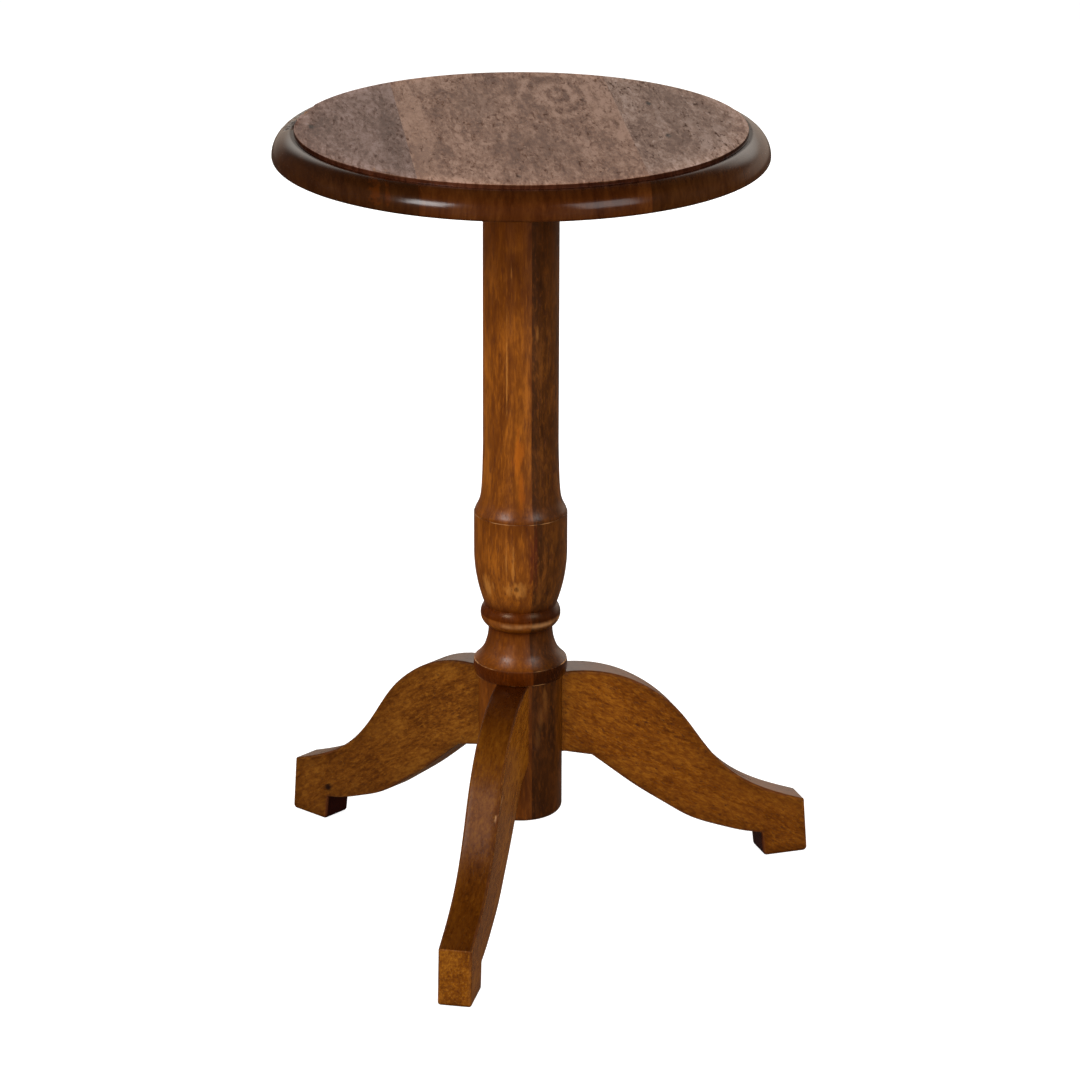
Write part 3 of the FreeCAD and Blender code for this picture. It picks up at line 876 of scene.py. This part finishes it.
def top_wood():
    """Wood of the top, with marks by their place across the boards, along them and above the floor."""
    black, brown, rosy = linear(34, 18, 11), linear(80, 50, 36), linear(160, 122, 102)
    orange = (0.8, 0.3, 0.06, 1)
    face, rim, thick = 575, 564, 9
    left = [
        ((-146, 11, face), (2.6, 7, thick), black, 0.9, 1.4),
        ((-94, -45, face), (11, 110, thick), brown, 0.3, 0.8),
        ((-111, -124, rim), (4, 60, thick), orange, 0.35, 3.0),
        ((-103, -124, rim), (2, 60, thick), orange, 0.3, 3.0)]
    centre = [
        ((-73, -10, face), (10, 170, thick), rosy, 0.4, 1.2),
        ((-26, 62, face), (18, 55, thick), brown, 0.4, 4.0),
        ((10, -60, face), (40, 60, thick), brown, 0.3, 4.0),
        ((-15, -136, face), (2.5, 6, thick), black, 0.6, 1.5)]
    right = [
        ((118, 5, face), (28, 90, thick), brown, 0.3, 5.0),
        ((96.4, 55.7, face), (2.2, 6.5, thick), black, 1.0, 1.3),
        ((99.3, -35.8, face), (2.8, 6.5, thick), black, 1.0, 1.3)]
    knot, = placed(1, [((33, 85, face), (42, 105, 40))])
    return wood(
        "top_wood", dark=linear(94, 60, 45), middle=linear(126, 90, 72), pale=linear(156, 120, 103),
        pore=linear(66, 38, 25), worn=linear(170, 130, 95), deep=(0.26, 0.125, 0.03, 1),
        figure=(0.026, 0.12, 1.5), streak=(0.008, 0.05, 1.0), fibre=(0.0036, 0.012, 1.5),
        pores=(0.0020, 0.009, 0.55), pits=(0.0026, 0.012, 0.62), flecks=(0.0024, 0.010, 0.60),
        roughness=0.27, polish=0.10, coat=0.45, ior=1.06, relief=0.0002, depth=5.0,
        marks=placed(0, left) + placed(1, centre) + placed(2, right), swirl=knot)


def column_woods():
    """Light and dark wood of the column's halves, with marks by X, height and Y."""
    black, red, pale, orange = linear(30, 12, 3), linear(76, 26, 4), linear(196, 130, 56), linear(168, 86, 4)
    left = [
        ((-4.6, 404, -26.8), (0.5, 46, 4), pale, 0.4, 2.4),
        ((-1.3, 475, -27.2), (0.6, 9, 4), pale, 0.4, 2.4),
        ((3.8, 341, -27), (4, 20, 5), orange, 0.6, 2.4),
        ((6, 314, -28), (3, 18, 5), orange, 0.5, 2.4),
        ((3.4, 240, -31.3), (9, 7, 5), pale, 0.45, 2.4),
        ((3.4, 241, -31.3), (2, 2.4, 5), black, 0.9, 0.8),
        ((1.5, 258, -33), (1.2, 16, 4), pale, 0.35, 2.4),
        ((-3.5, 262, -33), (1.0, 14, 4), pale, 0.3, 2.4),
        ((-19, 241, -25), (6, 9, 5), pale, 0.45, 2.4),
        ((14.6, 262, -30), (1.8, 32, 4), red, 0.8, 1.5)]
    right = [
        ((22.5, 153, -20.5), (2, 9, 5), pale, 0.16, 3.0),
        ((20, 140, -23), (1.5, 9, 5), pale, 0.16, 3.0),
        ((18, 124, -24.6), (2, 9, 5), pale, 0.14, 3.0),
        ((26, 128, -16), (4, 28, 6), black, 0.5, 2.4),
        ((21, 131, -22), (3, 6, 5), black, 0.5, 2.4),
        ((16.3, 430, -21.7), (0.8, 7, 4), pale, 0.2, 2.4),
        ((10.7, 354, -25), (0.6, 7, 4), pale, 0.2, 2.4),
        ((17, 262, -29), (1.6, 32, 4), red, 0.8, 1.5)]
    alike = dict(
        pore=linear(60, 24, 4), worn=linear(190, 134, 80), deep=(0.36, 0.25, 0.18, 1), roughness=0.36,
        polish=0.08, dull=(0.6, 0.45, 0.3, 1), ior=1.43, relief=0.00010)
    light = wood(
        "column_light_wood", dark=linear(85, 39, 3), middle=linear(112, 57, 3), pale=linear(148, 82, 11),
        figure=(0.018, 0.06, 1.1), streak=(0.0045, 0.06, 0.9), fibre=(0.0022, 0.016, 0.7),
        pores=(0.0014, 0.010, 0.57), pits=(0.0018, 0.012, 0.64), flecks=(0.0015, 0.012, 0.54),
        marks=placed(0, left), **alike)
    dark = wood(
        "column_dark_wood", dark=linear(44, 19, 2), middle=linear(72, 36, 3), pale=linear(110, 60, 10),
        figure=(0.016, 0.05, 0.9), streak=(0.0045, 0.04, 0.8), fibre=(0.0022, 0.010, 0.8),
        pores=(0.0015, 0.007, 0.55), pits=(0.0020, 0.008, 0.62), flecks=(0.0016, 0.006, 0.54),
        marks=placed(1, right), **alike)
    return {"left": light, "right": dark}


def leg_wood():
    """Wood of the legs, with a pale streak on the front leg and a knot on the left one."""
    black, pale = linear(34, 16, 10), linear(235, 180, 125)
    front = [(along_leg((131, 10.6, 108)), (1.6, 22, 1.4), pale, 0.8, 2.6)]
    left = [(along_leg((185.6, 12, 27.2)), (3.4, 5.5, 9), black, 0.95, 1.0)]
    return wood(
        "leg_wood", dark=linear(86, 42, 6), middle=linear(119, 65, 10), pale=linear(149, 91, 21),
        pore=linear(71, 34, 6), worn=linear(84, 40, 10), deep=(0.10, 0.03, 0.0, 1),
        figure=(0.030, 0.08, 1.0), streak=(0.004, 0.02, 0.8), fibre=(0.0018, 0.006, 1.3),
        pores=(0.0015, 0.0055, 0.58), pits=(0.0020, 0.007, 0.62), flecks=(0.0016, 0.0055, 0.54),
        roughness=0.28, polish=0.0, ior=1.25, relief=0.00008, marks=placed(0, front) + placed(2, left))


def plain_wood(name, dark, pale, scale, roughness):
    """Unpolished wood of a hidden piece, with its fibres along one axis."""
    material, n = new_material(name)
    place = n.turn(n.place("Object"), -GRAIN_TURN)
    fibre = n.noise(place, scale, 4.0, 0.6)
    blotch = n.noise(place, (30, 30, 30), 3.0)
    colour = n.ramp(n.line(fibre, 0.6, n.times(blotch, 0.4)), (0.3, dark), (0.7, pale))
    n.finish(Base_Color=colour, Roughness=n.line(fibre, 0.2, roughness), Normal=n.bump(fibre, 0.4, 0.0002))
    return material


def screw_steel():
    """Dull plated steel with fine scratches."""
    material, n = new_material("screw_steel")
    place = n.place("Object")
    scratch = n.noise(place, (2600, 900, 900), 3.0)
    tarnish = n.noise(place, (420, 420, 420), 3.0)
    colour = n.ramp(tarnish, (0.3, linear(120, 112, 98)), (0.7, linear(176, 172, 162)))
    n.finish(Base_Color=colour, Metallic=1.0, Roughness=n.line(scratch, 0.3, 0.22),
             Normal=n.bump(scratch, 0.2, 0.00005))
    return material


def dress_hidden_pieces():
    """Finish of the pieces that keep their own solids: bearer, screws and dowels."""
    bearer = plain_wood("bearer_wood", linear(88, 56, 34), linear(134, 92, 60), (18, 620, 620), 0.55)
    dowel = plain_wood("dowel_wood", linear(186, 150, 108), linear(222, 190, 146), (40, 700, 700), 0.6)
    finishes = {"bearer_screw": screw_steel(), "dowel": dowel, "top_bearer": bearer}
    for name, node in frame["nodes"].items():
        for part, material in finishes.items():
            if part in name:
                for slot in node.material_slots:
                    slot.material = material


# Stage, in metres

def grey(level):
    return (level, level, level, 1)


def warm(level):
    return (level, 0.94 * level, 0.86 * level, 1)


def amber(level):
    return (level, 0.82 * level, 0.68 * level, 1)


def floor():
    """Pale floor that turns up into a wall all round.

    It lights neither wood nor polish and lets the room's light in. Its outline is in millimetres.
    """
    level, reach, wall = 6000.0, 9000.0, 8000.0
    outline = [(0, 0)] + upright_arc((level, 0), (reach, reach - level)) + [(reach, wall)]
    verts, faces = lathe(outline, 0, math.tau, 64)
    mesh = closed_mesh("floor", verts, faces, {})
    mesh.shade_smooth()
    material, n = new_material("pale_floor")
    cloud = n.noise(n.place("Object"), (3, 3, 3), 3.0)
    n.finish(Base_Color=n.ramp(cloud, (0.3, grey(0.55)), (0.7, grey(0.60))), Roughness=0.8,
             Emission_Color=grey(1), Emission_Strength=0.85)
    mesh.materials.append(material)
    ground = bpy.data.objects.new("floor", mesh)
    ground.visible_diffuse = False
    ground.visible_glossy = False
    ground.visible_shadow = False
    bpy.context.scene.collection.objects.link(ground)


def world():
    """Dark room with an amber wall behind the table and a bright panel high on the wall."""
    room = bpy.data.worlds.new("room")
    room.use_nodes = True
    bpy.context.scene.world = room
    n = Nodes(room.node_tree)
    way = n.turn(n.place("Generated"), -VIEW_TURN)
    split = n.node("ShaderNodeSeparateXYZ", {"Vector": way})
    height = n.line(split.outputs["Z"], 0.5, 0.5)
    azimuth = n.math("ARCTAN2", split.outputs["X"], split.outputs["Y"])

    def around(middle, reach, fade):
        """1 within reach of the middle azimuth, and less over the degrees of the fade."""
        aside = n.math("ABSOLUTE", n.math("SUBTRACT", azimuth, math.radians(middle)))
        return n.between(aside, math.radians(reach + fade), math.radians(reach))

    front = n.ramp(height, (0.0, warm(0.04)), (0.50, warm(0.05)), (0.55, warm(0.08)), (0.80, warm(0.08)),
                   (0.86, warm(0.02)), (1.0, warm(0.02)))
    wall = n.ramp(height, (0.0, warm(0.04)), (0.42, amber(0.12)), (0.46, amber(0.65)), (0.585, amber(1.0)),
                  (0.66, warm(0.2)), (0.80, warm(0.05)), (1.0, warm(0.02)))
    panel = n.ramp(height, (0.60, warm(0.0)), (0.67, warm(2.2)), (0.73, warm(2.2)), (0.80, warm(0.0)))
    colour = n.mix(around(16, 28, 26), front, wall)
    colour = n.mix(around(8, 20, 20), colour, n.mix(1.0, colour, panel, "ADD"))
    light = n.node("ShaderNodeBackground", {"Color": colour})
    n.node("ShaderNodeOutputWorld", {"Surface": light.outputs[0]})


def softbox(name, place, way, size, power, mirrored):
    """Square light that shines along way; the polish may mirror it or not."""
    lamp = bpy.data.lights.new(name, "AREA")
    lamp.size = size
    lamp.energy = power
    stand = bpy.data.objects.new(name, lamp)
    stand.location = place
    stand.rotation_euler = way.to_track_quat("-Z", "Y").to_euler()
    stand.visible_camera = False
    stand.visible_glossy = mirrored
    bpy.context.scene.collection.objects.link(stand)


def aimed_softbox(name, azimuth, elevation, distance, size, power, mirrored):
    """Square light aimed at the table, at that azimuth from the camera's side."""
    turn = VIEW_TURN - math.pi / 2 + math.radians(azimuth)
    rise = math.radians(elevation)
    back = Vector((math.cos(turn) * math.cos(rise), math.sin(turn) * math.cos(rise), math.sin(rise)))
    softbox(name, Vector((0, 0, AIM_HEIGHT)) + back * distance, -back, size, power, mirrored)


def lights():
    """Two softboxes that the polish mirrors, even light from all round, low down, and the floor's return."""
    aimed_softbox("left_softbox", -45, elevation=36, distance=2.4, size=0.65, power=26, mirrored=True)
    aimed_softbox("right_softbox", 42, elevation=38, distance=2.4, size=1.0, power=15, mirrored=True)
    for azimuth in (-150, -90, -30, 30, 90, 150):
        aimed_softbox(
            f"fill_{azimuth}", azimuth, elevation=10, distance=2.5, size=1.2, power=22, mirrored=False)
    softbox("floor_return", Vector((0, 0, 0.002)), Vector((0, 0, 1)), size=2.4, power=7, mirrored=False)


def camera():
    """Camera at the place that the photograph was taken from."""
    lens = bpy.data.cameras.new("camera")
    lens.sensor_width = SENSOR
    lens.lens = SENSOR * FOCAL_PIXELS / IMAGE_SIZE
    lens.clip_end = 60
    stand = bpy.data.objects.new("camera", lens)
    turn = Matrix.Rotation(VIEW_TURN, 4, "Z")
    place = turn @ Vector((VIEW_OFFSET, -VIEW_DISTANCE, VIEW_HEIGHT))
    tilt = Matrix.Rotation(math.pi / 2 - VIEW_PITCH, 4, "X") @ Matrix.Rotation(VIEW_ROLL, 4, "Z")
    stand.matrix_world = Matrix.Translation(place) @ turn @ tilt
    bpy.context.scene.collection.objects.link(stand)
    bpy.context.scene.camera = stand


top_boards(top_wood())
column_halves(column_woods())
legs(leg_wood())
dress_hidden_pieces()
floor()
world()
lights()
camera()
bpy.context.scene.view_settings.view_transform = "Standard"
